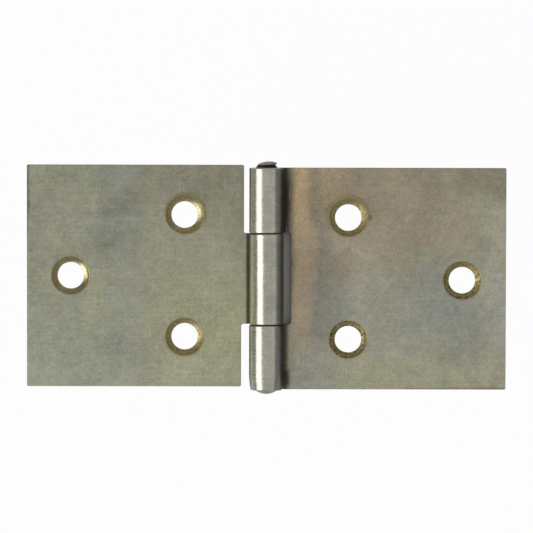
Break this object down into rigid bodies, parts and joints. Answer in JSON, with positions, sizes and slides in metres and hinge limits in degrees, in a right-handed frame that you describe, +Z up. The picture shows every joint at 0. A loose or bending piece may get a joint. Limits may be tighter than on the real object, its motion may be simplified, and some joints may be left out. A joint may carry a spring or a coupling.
{
  "type": "back flap hinge",
  "caption": "Back flap hinge of rolled steel sheet: two wide leaves with countersunk screw holes turning on one headed pin, shown open and flat.",
  "frame": {"origin": "below the middle of the pin, in the plane of the leaves' back faces, with the hinge open and flat", "axes": "+X from the pin towards the two-knuckle leaf's outer edge, +Y along the pin towards its head, +Z up from the back faces to the side with the knuckles and countersinks"},
  "size_m": [0.108, 0.0523, 0.0078],
  "materials": {
    "leaf_steel": "self-colour cold-rolled steel sheet, fine brushing along the leaves, bright rolled knuckles",
    "pin_steel": "dark drawn steel wire, hammered ends"
  },
  "bodies": {
    "fixed_leaf": {"two_knuckle_leaf": "leaf_steel", "hinge_pin": "pin_steel"},
    "swinging_leaf": {"one_knuckle_leaf": "leaf_steel"}
  },
  "joints": [
    {"name": "leaf_swing", "type": "hinge", "parent": "fixed_leaf", "child": "swinging_leaf", "pos_m": [0, 0, 0.00388], "axis": [0, 1, 0], "range_deg": [-103, 184]}
  ]
}
